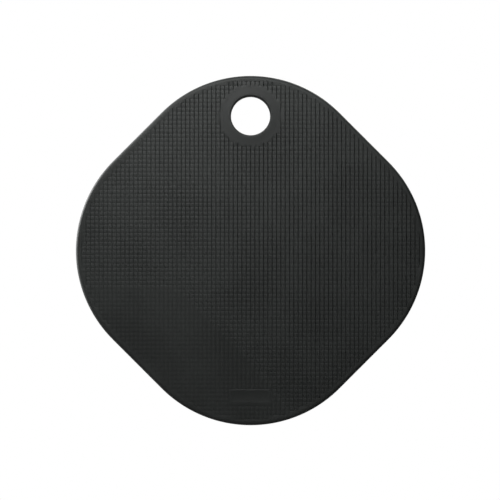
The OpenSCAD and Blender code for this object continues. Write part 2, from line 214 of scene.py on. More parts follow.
@dataclass(frozen=True)
class Finish:
    """One material: colour, gloss, grain, scuffs, and painted shade round the key-ring hole.

    Lengths are in metres. Grain is a pattern with that cell size and height, and mottle is a slow
    change of tone. A band is the pair of noise values or distances between which a mask fades.
    """

    slot: str
    colour: Colour
    shade: Colour
    roughness: float
    grain: Grain = Grain.SPARK
    metallic: float = 0.0
    coat: float = 0.0
    spread: float = 0.06
    grain_size: float = 0.12 * MM
    grain_height: float = 0.004 * MM
    brush_stretch: float = 0.06
    mottle_size: float = 6 * MM
    mottle_band: tuple[float, float] = (0.3, 0.7)
    mottle_share: float = 0.7
    scuffs: float = 0.0
    streak_band: tuple[float, float] = (0.68, 0.8)
    patch_band: tuple[float, float] = (0.5, 0.7)
    # Strength of the ring round the key-ring hole: painted shade in the colour, polish in the roughness.
    ring_shade_and_polish: float = 0.0
    ring_band: tuple[float, float] = (3.0 * MM, 5.2 * MM)
    polish: float = 0.1
    least_roughness: float = 0.05
    turn_centre: tuple[float, float] = (0.0, 0.0)

    def relief(self, book: NodeBook, place: bpy.types.NodeSocket) -> Number:
        """Builds the grain's height.

        Args:
            book: the material's tree.
            place: object coordinates.

        Returns:
            Height from about zero to one.
        """
        if self.grain is Grain.FOAM:
            cells = book.add("ShaderNodeTexVoronoi", {}, {"Vector": place, "Scale": 1 / self.grain_size})
            return Number(book, cells.outputs["Distance"])
        if self.grain is Grain.TURNED:
            x, _, z = book.split(place)
            radius = (x - self.turn_centre[0]).hypot(z - self.turn_centre[1])
            place = book.add("ShaderNodeCombineXYZ", sockets={0: radius}).outputs[0]
        if self.grain is Grain.BRUSHED:
            stretch = {"Vector": place, "Scale": (1.0, 1.0, self.brush_stretch)}
            place = book.add("ShaderNodeMapping", {}, stretch).outputs[0]
        noise = {"Vector": place, "Scale": 1 / self.grain_size, "Detail": 2.0, "Roughness": 0.6}
        return Number(book, book.add("ShaderNodeTexNoise", {}, noise).outputs[0])

    def scuffs_and_ring_shade(self, book: NodeBook, place: bpy.types.NodeSocket) -> Number | float:
        """Builds the mask of fine scuffs, which are real rubbing marks, and of a painted shade ring round
        the key-ring hole.

        Args:
            book: the material's tree.
            place: object coordinates.

        Returns:
            Mask from zero to one, or zero where the finish has neither scuffs nor a shade ring.
        """
        scuff_and_shade_mask: Number | float = 0.0
        if self.scuffs:
            turned = {"Vector": place, "Rotation": (0.2, 0.7, 0.3), "Scale": (1.0, 1.0, 0.04)}
            lines = book.add("ShaderNodeMapping", {}, turned).outputs[0]
            noise = book.add("ShaderNodeTexNoise", {}, {"Vector": lines, "Scale": 2200.0, "Detail": 1.0})
            patches = book.add("ShaderNodeTexNoise", {}, {"Vector": place, "Scale": 140.0, "Detail": 2.0})
            streaks = Number(book, noise.outputs[0]).ramp(*self.streak_band)
            scuff_and_shade_mask = streaks * Number(book, patches.outputs[0]).ramp(*self.patch_band) * self.scuffs
        # Painted shade: the colour darkens in a ring round the hole at the origin, and the same ring lowers
        # the roughness.
        if self.ring_shade_and_polish:
            x, _, z = book.split(place)
            scuff_and_shade_mask = scuff_and_shade_mask + (1 - x.hypot(z).ramp(*self.ring_band)) * self.ring_shade_and_polish
        return scuff_and_shade_mask

    def material(self) -> bpy.types.Material:
        """Builds the material.

        Returns:
            The new material, named after the slot.
        """
        material = bpy.data.materials.new(self.slot)
        material.use_nodes = True
        book = NodeBook(material.node_tree)
        shader = material.node_tree.nodes["Principled BSDF"]
        place = book.add("ShaderNodeTexCoord").outputs["Object"]
        mottle_sockets = {"Vector": place, "Scale": 1 / self.mottle_size, "Detail": 3.0}
        mottle = Number(book, book.add("ShaderNodeTexNoise", {}, mottle_sockets).outputs[0])
        relief = self.relief(book, place)
        scuff_and_shade_mask = self.scuffs_and_ring_shade(book, place)
        tone = mottle.ramp(*self.mottle_band) * self.mottle_share + relief * (1 - self.mottle_share)
        # Scuffs darken the colour as real marks; the ring round the key-ring hole darkens it as painted
        # shade.
        tone = (tone - scuff_and_shade_mask).at_most(1.0).at_least(0.0)
        book.feed(shader.inputs["Base Color"], book.mix(tone, self.shade, self.colour))
        rough = (mottle - 0.5) * (2 * self.spread) + (relief - 0.5) * self.spread + self.roughness
        rough = (rough - scuff_and_shade_mask * self.polish).at_least(self.least_roughness)
        book.feed(shader.inputs["Roughness"], rough)
        bump = {"Strength": 1.0, "Distance": self.grain_height, "Height": relief}
        book.feed(shader.inputs["Normal"], book.add("ShaderNodeBump", {}, bump).outputs[0])
        shader.inputs["Metallic"].default_value = self.metallic
        shader.inputs["Coat Weight"].default_value = self.coat
        return material


@dataclass
class Wardrobe:
    """All finishes of the tag, by the record's slots, with the cell's axis as x and z."""

    cell_centre: tuple[float, float]
    materials: dict[str, bpy.types.Material] = field(default_factory=dict)

    def finishes(self) -> list[Finish]:
        """Lists the finishes.

        Returns:
            One finish for each slot of the record.
        """
        brushed = {
            "grain": Grain.BRUSHED, "metallic": 1.0,
            "grain_size": 0.05 * MM, "grain_height": 0.001 * MM,
        }
        resin = {"grain_size": 0.06 * MM, "grain_height": 0.002 * MM}
        return [
            # The ring round the key-ring hole on the covers and the chassis is painted shade in the colour
            # and polish in the roughness.
            Finish("grooved_plastic", (0.0435, 0.0482, 0.0458), (0.0285, 0.0317, 0.0301), 0.6,
                   grain_size=0.09 * MM, grain_height=0.003 * MM, scuffs=0.35, ring_shade_and_polish=0.7),
            Finish("fine_plastic", (0.034, 0.036, 0.035), (0.029, 0.031, 0.030), 0.5,
                   grain_size=0.14 * MM, grain_height=0.009 * MM, scuffs=0.5, ring_shade_and_polish=0.3),
            Finish("chassis_plastic", (0.030, 0.031, 0.031), (0.024, 0.025, 0.025), 0.42,
                   grain_size=0.2 * MM, grain_height=0.003 * MM, ring_shade_and_polish=0.4),
            Finish("silicone", (0.075, 0.075, 0.08), (0.055, 0.055, 0.06), 0.62, Grain.SATIN,
                   grain_size=0.08 * MM, grain_height=0.002 * MM),
            Finish("board_laminate", (0.022, 0.13, 0.065), (0.014, 0.09, 0.045), 0.32, Grain.SATIN,
                   coat=0.4, grain_size=0.25 * MM, grain_height=0.003 * MM, mottle_size=3 * MM),
            Finish("screw_steel", (0.58, 0.58, 0.59), (0.44, 0.44, 0.46), 0.33, **brushed),
            Finish("cell_steel", (0.66, 0.66, 0.67), (0.54, 0.54, 0.56), 0.24, Grain.TURNED, metallic=1.0,
                   grain_size=0.06 * MM, grain_height=0.001 * MM, turn_centre=self.cell_centre),
            Finish("grommet_plastic", (0.3, 0.3, 0.31), (0.24, 0.24, 0.25), 0.5, Grain.SATIN, **resin),
            Finish("contact_steel", (0.62, 0.61, 0.58), (0.5, 0.49, 0.47), 0.3, **brushed),
            Finish("foam", (0.035, 0.035, 0.036), (0.012, 0.012, 0.012), 0.9, Grain.FOAM,
                   grain_size=0.22 * MM, grain_height=0.05 * MM),
            Finish("sounder_brass", (0.76, 0.55, 0.24), (0.62, 0.43, 0.17), 0.3, **brushed),
            Finish("ceramic", (0.8, 0.78, 0.7), (0.7, 0.67, 0.58), 0.4, Grain.SATIN, **resin),
            Finish("adhesive", (0.77, 0.77, 0.75), (0.68, 0.68, 0.66), 0.55, Grain.SATIN, **resin),
            Finish("gold_plating", (0.8, 0.56, 0.22), (0.66, 0.44, 0.16), 0.28, **brushed),
            Finish("chip_resin", (0.022, 0.022, 0.024), (0.015, 0.015, 0.016), 0.48, **resin),
            Finish("plunger_nylon", (0.22, 0.22, 0.22), (0.16, 0.16, 0.16), 0.45, Grain.SATIN, **resin),
            Finish("tinned_steel", (0.7, 0.7, 0.71), (0.56, 0.56, 0.58), 0.36, **brushed),
            Finish("ferrite", (0.055, 0.052, 0.05), (0.035, 0.033, 0.032), 0.65, **resin),
            Finish("capacitor_ceramic", (0.38, 0.24, 0.13), (0.28, 0.17, 0.09), 0.45, Grain.SATIN, **resin),
        ]

    def fill(self) -> None:
        """Builds every material."""
        for finish in self.finishes():
            self.materials[finish.slot] = finish.material()

    def dress_nodes(self) -> None:
        """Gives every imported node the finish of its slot."""
        for part in frame["record"]["subparts"]:
            mesh = frame["nodes"][part["node"]].data
            mesh.materials.clear()
            mesh.materials.append(self.materials[part["material_slot"]])
            log.info("%s: dressed in %s", part["node"], part["material_slot"])


# ---- Mesh making ----


def compass(angle: float) -> Vector:
    """Returns the direction at that angle in the plane across Y."""
    return Vector((math.cos(angle), 0, math.sin(angle)))


@dataclass(frozen=True)
class Outline:
    """Rounded square that stands on one corner, with all its rings about the same arc centres."""

    centre_z: float
    arc_offset: float
    arc_steps: int = 48
    flat_steps: int = 6

    @property
    def middle(self) -> Vector:
        """Middle of the square."""
        return Vector((0, 0, self.centre_z))

    def stations(self) -> list[tuple[Vector, Vector]]:
        """Walks once round the tag, corner by corner.

        Returns:
            Pairs of a base point and the outward direction there.
        """
        found = []
        for quarter in range(4):
            start = quarter * QUARTER_TURN
            here, there = compass(start) * self.arc_offset, compass(start + QUARTER_TURN) * self.arc_offset
            for step in range(self.arc_steps + 1):
                found.append((here, compass(start + (step / self.arc_steps - 0.5) * QUARTER_TURN)))
            out = found[-1][1]
            for step in range(1, self.flat_steps):
                found.append((here.lerp(there, step / self.flat_steps), out))
        return [(base + self.middle, out) for base, out in found]

    def loop(self, reach: float, y: float) -> list[Vector]:
        """Returns the ring of points at that reach from the arc centres."""
        lift = Vector((0, y, 0))
        return [base + out * reach + lift for base, out in self.stations()]


def circle(centre: Vector, radius: float, y: float, count: int = 96) -> list[Vector]:
    """Returns points round a circle about an axis along Y.

    Args:
        centre: any point of the axis.
        radius: the circle's radius.
        y: the circle's place along the axis.
        count: number of points.

    Returns:
        The points in order.
    """
    turns = [2 * math.pi * step / count for step in range(count)]
    return [Vector((centre.x + radius * math.cos(t), y, centre.z + radius * math.sin(t))) for t in turns]


def rounded_rectangle(
    centre: Vector, half_x: float, half_z: float, corner: float, y: float, steps: int = 6
) -> list[Vector]:
    """Returns points round a rectangle with rounded corners, in a plane across Y.

    Args:
        centre: its middle.
        half_x: half its width.
        half_z: half its height.
        corner: radius of its corners.
        y: the plane's place.
        steps: number of segments in each corner.

    Returns:
        The points in order.
    """
    points = []
    for turn, (sign_x, sign_z) in enumerate(((1, 1), (-1, 1), (-1, -1), (1, -1))):
        middle = Vector((centre.x + sign_x * (half_x - corner), y, centre.z + sign_z * (half_z - corner)))
        for step in range(steps + 1):
            points.append(middle + compass((turn + step / steps) * QUARTER_TURN) * corner)
    return points


def quarter_round(
    start: tuple[float, float], end: tuple[float, float], bulge_first: bool, steps: int = 10
) -> Profile:
    """Returns a quarter ellipse between two profile points.

    Args:
        start: first point, as radius and y.
        end: last point.
        bulge_first: whether the curve leaves the start along the radius.
        steps: number of segments.

    Returns:
        The points, both ends among them.
    """
    points = []
    for step in range(steps + 1):
        angle = step / steps * QUARTER_TURN
        early, late = math.sin(angle), 1 - math.cos(angle)
        along, across = (early, late) if bulge_first else (late, early)
        points.append((start[0] + (end[0] - start[0]) * along, start[1] + (end[1] - start[1]) * across))
    return points


class Sculpt:
    """Mesh under construction."""

    def __init__(self) -> None:
        """Starts empty."""
        self.bm = bmesh.new()

    def ring(self, points: list[Vector]) -> Ring:
        """Adds the points of a closed ring, without edges."""
        return [self.bm.verts.new(point) for point in points]

    def skin(self, rings: list[Ring], close: bool = False) -> None:
        """Joins rings of equal length with quads.

        Args:
            rings: the rings in order.
            close: whether the last ring joins the first one.
        """
        followers = rings[1:] + rings[:1] if close else rings[1:]
        for low, high in zip(rings, followers):
            for i, vert in enumerate(low):
                after = (i + 1) % len(low)
                face = self.bm.faces.new((vert, low[after], high[after], high[i]))
                face.smooth = True

    def cap(self, rings: list[Ring]) -> None:
        """Closes the first and the last ring with one flat face each."""
        for end in (rings[0], rings[-1]):
            self.bm.faces.new(end)

    def lathe(self, centre: Vector, profile: Profile, count: int = 96, close: bool = False) -> list[Ring]:
        """Turns a profile of radius and y about an axis along Y.

        Args:
            centre: any point of the axis.
            profile: the section's points.
            count: points round the axis.
            close: whether the section is a closed one.

        Returns:
            The rings of vertices.
        """
        rings = [self.ring(circle(centre, radius, y, count)) for radius, y in profile]
        self.skin(rings, close)
        return rings

    def edges_of(self, ring: Ring) -> list[bmesh.types.BMEdge]:
        """Returns the edges round a ring, making the ones that are missing."""
        pairs = zip(ring, ring[1:] + ring[:1])
        return [self.bm.edges.get(pair) or self.bm.edges.new(pair) for pair in pairs]

    def fill(self, rings: list[Ring], extra: list[bmesh.types.BMEdge] | None = None) -> None:
        """Fills the flat area between rings with flat faces.

        Args:
            rings: the outer ring and the rings round its holes.
            extra: edges of further holes.
        """
        edges = [edge for ring in rings for edge in self.edges_of(ring)] + (extra or [])
        bmesh.ops.triangle_fill(self.bm, use_beauty=True, use_dissolve=False, edges=edges)

    def block(self, centre: Vector, half: Vector, turn: float = 0.0, softness: float = 0.2) -> None:
        """Adds a box with softened edges.

        Args:
            centre: its middle.
            half: half its size on each axis.
            turn: its turn about Y, in radians.
            softness: radius of its edges, as a share of its smallest half size.
        """
        soft = min(half) * softness
        rings = []
        for y in (-half.y, -half.y + soft, half.y - soft, half.y):
            inset = soft if abs(y) == half.y else 0.0
            points = rounded_rectangle(Vector(), half.x - inset, half.z - inset, soft, y)
            rings.append(self.ring([self.turned(point, turn) + centre for point in points]))
        self.skin(rings)
        self.cap(rings)

    @staticmethod
    def turned(point: Vector, turn: float) -> Vector:
        """Returns the point turned about Y."""
        c, s = math.cos(turn), math.sin(turn)
        return Vector((point.x * c - point.z * s, point.y, point.x * s + point.z * c))

    def piece(self, name: str, material: bpy.types.Material, sharp: float = 28.0) -> bpy.types.Object:
        """Turns the mesh into a finished object.

        Args:
            name: the piece's name.
            material: its finish.
            sharp: edges steeper than this many degrees stay crisp.

        Returns:
            The object, at the origin.
        """
        bmesh.ops.recalc_face_normals(self.bm, faces=self.bm.faces[:])
        open_edges = sum(1 for edge in self.bm.edges if not edge.is_manifold)
        mesh = bpy.data.meshes.new(name)
        self.bm.to_mesh(mesh)
        self.bm.free()
        mesh.materials.append(material)
        mesh.polygons.foreach_set("material_index", [0] * len(mesh.polygons))
        mesh.set_sharp_from_angle(angle=math.radians(sharp))
        piece = bpy.data.objects.new(name, mesh)
        bpy.context.scene.collection.objects.link(piece)
        log.info("%s: %d faces, %d open edges", name, len(mesh.polygons), open_edges)
        return piece


def settle(piece: bpy.types.Object, body: str, slot: str, *nodes: str) -> None:
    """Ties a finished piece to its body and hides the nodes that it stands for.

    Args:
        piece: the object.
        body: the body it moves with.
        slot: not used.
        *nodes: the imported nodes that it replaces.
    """
    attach(piece, body)
    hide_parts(*nodes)


class GeometryRecipe:
    """Geometry Nodes tree with named inputs, evaluated once into a mesh."""

    def __init__(self, name: str, inputs: dict[str, object]) -> None:
        """Args: name: the tree's name. inputs: its named sizes and their values."""
        self.tree = bpy.data.node_groups.new(name, "GeometryNodeTree")
        self.book = NodeBook(self.tree)
        self.values: dict[str, object] = {}
        for label, value in inputs.items():
            kind = "NodeSocketInt" if isinstance(value, int) else "NodeSocketFloat"
            self._input(label, kind, value)
        self.tree.interface.new_socket("Mesh", in_out="OUTPUT", socket_type="NodeSocketGeometry")
        self.source = self.book.add("NodeGroupInput")

    def _input(self, label: str, kind: str, value: object) -> None:
        """Adds one named input and keeps its value by the socket's identifier."""
        socket = self.tree.interface.new_socket(label, in_out="INPUT", socket_type=kind)
        self.values[socket.identifier] = value

    def value(self, label: str) -> Number:
        """Returns a named input as a number."""
        return Number(self.book, self.source.outputs[label])

    def mesh(self, result: bpy.types.NodeSocket, material: bpy.types.Material) -> bpy.types.Mesh:
        """Ends the tree and evaluates it.

        Args:
            result: the geometry.
            material: the finish that the tree sets.

        Returns:
            A plain mesh of the result.
        """
        real = self.book.add("GeometryNodeRealizeInstances", {}, {"Geometry": result})
        dress = {"Geometry": real.outputs[0], "Material": material}
        done = self.book.add("GeometryNodeSetMaterial", {}, dress)
        self.book.add("NodeGroupOutput", {}, {0: done.outputs[0]})
        host = bpy.data.objects.new(self.tree.name, bpy.data.meshes.new(self.tree.name))
        bpy.context.scene.collection.objects.link(host)
        modifier = host.modifiers.new(self.tree.name, "NODES")
        modifier.node_group = self.tree
        for identifier, value in self.values.items():
            modifier[identifier] = value
        bpy.context.view_layer.update()
        graph = bpy.context.evaluated_depsgraph_get()
        mesh = bpy.data.meshes.new_from_object(host.evaluated_get(graph))
        host.modifiers.remove(modifier)
        bpy.data.objects.remove(host)
        return mesh


# ---- Covers ----


@dataclass
class CoverShape:
    """Sizes that both covers share. Reach is measured from the corners' arc centres."""

    outline: Outline
    reach: float = 15.3 * MM
    wall: float = 1.2 * MM
    lip: float = 0.08 * MM
    fillet: float = 0.3 * MM

    @property
    def inside(self) -> float:
        """Reach of the side wall's inner face."""
        return self.reach - self.wall

    def on_flats(self, beyond: float, y: float) -> list[tuple[Vector, float]]:
        """Finds the middle of each of the four flat walls.

        Args:
            beyond: how far outside the wall's inner face the point lies.
            y: its place along the thickness.

        Returns:
            Pairs of the point and the wall's turn about Y.
        """
        start = Vector((self.outline.arc_offset / DIAGONAL + self.inside + beyond, y, 0))
        turns = [(quarter + 0.5) * QUARTER_TURN for quarter in range(4)]
        return [(Sculpt.turned(start, turn) + self.outline.middle, turn) for turn in turns]


@dataclass
class GroovedFront:
    """Front cover: grooved face, raised rim round the hole, side wall, hooks and switch actuator.

    The upright grooves have their full depth at the upper right. The left and low shares say what is
    left of it at the far left and at the bottom, and the side and low bands where it changes. The
    grooves also run out over the edge fade and the hole fade. A gap is the plain strip that is left
    between the grooves and the edge, the rim or the pad. The pad's wall is given as pairs of an inset
    and a share of its depth.
    """

    shape: CoverShape
    material: bpy.types.Material
    face_y: float
    lip_y: float
    rim_rise: float = 0.03 * MM
    thickness: float = 1.1 * MM
    edge: float = 0.4 * MM
    hole: float = 2.4 * MM
    rim_reach: float = 3.5 * MM
    mouth: float = 0.14 * MM
    pitch: float = 0.5265 * MM
    groove: float = 0.13 * MM
    upright_depth: float = 0.11 * MM
    level_depth: float = 0.018 * MM
    left_share: float = 0.42
    side_band: tuple[float, float] = (-12 * MM, 8 * MM)
    side_slant: float = 0.4
    low_share: float = 0.6
    low_band: tuple[float, float] = (-20 * MM, 2 * MM)
    edge_gap: float = 0.04 * MM
    edge_fade: float = 0.28 * MM
    rim_gap: float = 0.06 * MM
    hole_fade: float = 0.45 * MM
    rim_shares: tuple[float, ...] = (0.0, 0.1, 0.25, 0.45, 0.65, 0.85)
    pad_z: float = -34.16 * MM
    pad_half: tuple[float, float] = (2.35 * MM, 0.65 * MM)
    pad_gap: float = 0.15 * MM
    pad_corner: float = 0.25 * MM
    pad_depth: float = 0.025 * MM
    pad_wall: tuple[tuple[float, float], ...] = ((0.0, 0.0), (0.06 * MM, 0.4), (0.17 * MM, 1.0))
    hook_y: float = -2.05 * MM
    hook_half: tuple[float, float, float] = (0.45 * MM, 0.4 * MM, 2.5 * MM)
    hook_overlap: float = 0.1 * MM
    actuator_z: float = -28.18 * MM
    actuator_tip: float = -2.79 * MM
    actuator_radius: float = 1.2 * MM
    actuator_soft: float = 0.1 * MM
    actuator_root: float = 0.2 * MM

    def groove_field(self) -> bpy.types.Mesh:
        """Builds the grooved part of the face with Geometry Nodes.

        A plain grid has three lines for each groove. The outer two are drawn in to the groove's
        edges, and the middle one is sunk.

        Returns:
            A mesh that covers the face but for a narrow plain border.
        """
        per_groove = 3
        grooves = 2 * math.ceil((self.shape.reach + self.shape.outline.arc_offset) / self.pitch)
        recipe = GeometryRecipe("groove_field", {
            "Lines": per_groove * grooves + 1,
            "Pitch": self.pitch,
            "Groove Width": self.groove,
            "Upright Depth": self.upright_depth,
            "Level Depth": self.level_depth,
            "Left Share": self.left_share,
            "Low Share": self.low_share,
            "Face Y": self.face_y,
            "Centre Z": self.shape.outline.centre_z,
            "Arc Offset": self.shape.outline.arc_offset / DIAGONAL,
            "Field Reach": self.shape.reach - self.edge - self.edge_gap,
            "Hole Reach": self.rim_reach + self.rim_gap,
            "Edge Fade": self.edge_fade,
            "Hole Fade": self.hole_fade,
            "Pad Z": self.pad_z,
            "Pad Half Width": self.pad_half[0] + self.pad_gap,
            "Pad Half Height": self.pad_half[1] + self.pad_gap,
        })
        book = recipe.book
        pitch, width = recipe.value("Pitch"), recipe.value("Groove Width")
        size = (recipe.value("Lines") - 1) * pitch / per_groove
        grid = book.add("GeometryNodeMeshGrid", {}, {
            "Size X": size, "Size Y": size,
            "Vertices X": recipe.value("Lines"), "Vertices Y": recipe.value("Lines"),
        })
        flat_x, flat_y, _ = book.split(book.add("GeometryNodeInputPosition").outputs[0])

        def gathered(place: Number) -> Number:
            """Moves the lines beside each groove to its two edges."""
            cell = (place / pitch).rounded()
            return cell * pitch + (place / pitch - cell) * width * (per_groove / 2)

        upright = book.add("ShaderNodeCombineXYZ", sockets={
            0: gathered(flat_x), 1: recipe.value("Face Y"), 2: gathered(flat_y) + recipe.value("Centre Z"),
        })
        placed = book.add("GeometryNodeSetPosition", {}, {
            "Geometry": grid.outputs["Mesh"], "Position": upright.outputs[0],
        })

        x, _, z = book.split(book.add("GeometryNodeInputPosition").outputs[0])
        rise = z - recipe.value("Centre Z")
        across = abs((x + rise) / DIAGONAL) - recipe.value("Arc Offset")
        along = abs((rise - x) / DIAGONAL) - recipe.value("Arc Offset")
        reach = across.at_least(0.0).hypot(along.at_least(0.0)) + across.at_least(along).at_most(0.0)
        pad = (abs(x) < recipe.value("Pad Half Width")) * (
            abs(z - recipe.value("Pad Z")) < recipe.value("Pad Half Height"))
        kept = (reach < recipe.value("Field Reach")) * (x.hypot(z) > recipe.value("Hole Reach"))
        kept = kept * (1 - pad)
        on_points = {"data_type": "BOOLEAN", "domain": "POINT"}
        whole = book.add("GeometryNodeFieldOnDomain", on_points, {0: kept})
        outside = book.add("FunctionNodeBooleanMath", {"operation": "NOT"}, {0: whole.outputs[0]})
        trimmed = book.add("GeometryNodeDeleteGeometry", {"domain": "FACE"}, {
            "Geometry": placed.outputs[0], "Selection": outside.outputs[0],
        })

        faces = Number(book, book.add("GeometryNodeInputMeshEdgeNeighbors").outputs[0])
        on_edges = {"data_type": "BOOLEAN", "domain": "EDGE"}
        border = book.add("GeometryNodeFieldOnDomain", on_edges, {0: faces < 2})
        inner = book.add("FunctionNodeBooleanMath", {"operation": "NOT"}, {0: border.outputs[0]})

        def in_groove(place: Number) -> Number:
            """One on the middle line of a groove, zero on its edges."""
            share = place / pitch
            return abs(share - share.rounded()) < width / pitch / 4

        left, low = recipe.value("Left Share"), recipe.value("Low Share")
        crisp = (x + rise * self.side_slant).ramp(*self.side_band) * (1 - left) + left
        crisp = crisp * (rise.ramp(*self.low_band) * (1 - low) + low)
        fade = ((recipe.value("Field Reach") - reach) / recipe.value("Edge Fade")).ramp(0.0, 1.0)
        fade = fade * ((x.hypot(z) - recipe.value("Hole Reach")) / recipe.value("Hole Fade")).ramp(0.0, 1.0)
        upright_cut = in_groove(x) * recipe.value("Upright Depth") * crisp
        cut = upright_cut.at_least(in_groove(rise) * recipe.value("Level Depth")) * fade
        sunk = book.add("GeometryNodeSetPosition", {}, {
            "Geometry": trimmed.outputs[0], "Selection": inner.outputs[0],
            "Offset": book.add("ShaderNodeCombineXYZ", sockets={1: cut}).outputs[0],
        })
        return recipe.mesh(sunk.outputs[0], self.material)

    def face(self, sculpt: Sculpt, ceiling_y: float) -> None:
        """Builds the face, its rim, its pad and the side wall as one closed skin.

        Args:
            sculpt: the mesh to add to.
            ceiling_y: the face's inner side.
        """
        shape, outline = self.shape, self.shape.outline
        sculpt.bm.from_mesh(self.groove_field())
        border = [edge for edge in sculpt.bm.edges if edge.is_boundary]

        edge_end = (shape.reach, self.face_y + self.edge)
        profile = quarter_round((shape.reach - self.edge, self.face_y), edge_end, True, steps=12)
        profile += [(shape.reach, self.lip_y - shape.lip), (shape.reach - shape.lip, self.lip_y)]
        profile += [(shape.inside + shape.lip, self.lip_y), (shape.inside, self.lip_y - shape.lip)]
        fillet_start = (shape.inside, ceiling_y + shape.fillet)
        profile += quarter_round(fillet_start, (shape.inside - shape.fillet, ceiling_y), False, steps=5)
        sides = [sculpt.ring(outline.loop(reach, y)) for reach, y in profile]
        sculpt.skin(sides)

        shoulder = self.hole + self.mouth
        rim_y = self.face_y - self.rim_rise
        foot = [(share, share * share * (3 - 2 * share)) for share in self.rim_shares]
        rim = [(self.rim_reach + (shoulder - self.rim_reach) * share, self.face_y - self.rim_rise * lift)
               for share, lift in foot]
        rim += quarter_round((shoulder, rim_y), (self.hole, rim_y + self.mouth), True, steps=6)
        rim += [(self.hole, ceiling_y)]
        rings = sculpt.lathe(Vector(), rim)

        middle = Vector((0, 0, self.pad_z))
        half_x, half_z = self.pad_half
        pad = []
        for inset, share in self.pad_wall:
            y = self.face_y + share * self.pad_depth
            pad.append(sculpt.ring(
                rounded_rectangle(middle, half_x - inset, half_z - inset, self.pad_corner, y)))
        sculpt.skin(pad)
        sculpt.fill([pad[-1]])
        sculpt.fill([sides[0], rings[0], pad[0]], border)
        sculpt.fill([sides[-1], rings[-1]])

    def build(self) -> bpy.types.Object:
        """Builds the cover.

        Returns:
            The cover's object.
        """
        sculpt = Sculpt()
        ceiling_y = self.face_y + self.thickness
        self.face(sculpt, ceiling_y)
        for place, turn in self.shape.on_flats(self.hook_overlap, self.hook_y):
            sculpt.block(place, Vector(self.hook_half), turn)
        post = [
            (self.actuator_radius - self.actuator_soft, self.actuator_tip),
            (self.actuator_radius, self.actuator_tip - self.actuator_soft),
            (self.actuator_radius, ceiling_y - self.actuator_root),
        ]
        sculpt.cap(sculpt.lathe(Vector((0, 0, self.actuator_z)), post, count=48))
        piece = sculpt.piece("front_shell", self.material)
        settle(piece, "front_panel", "grooved_plastic", "front_cover")
        return piece


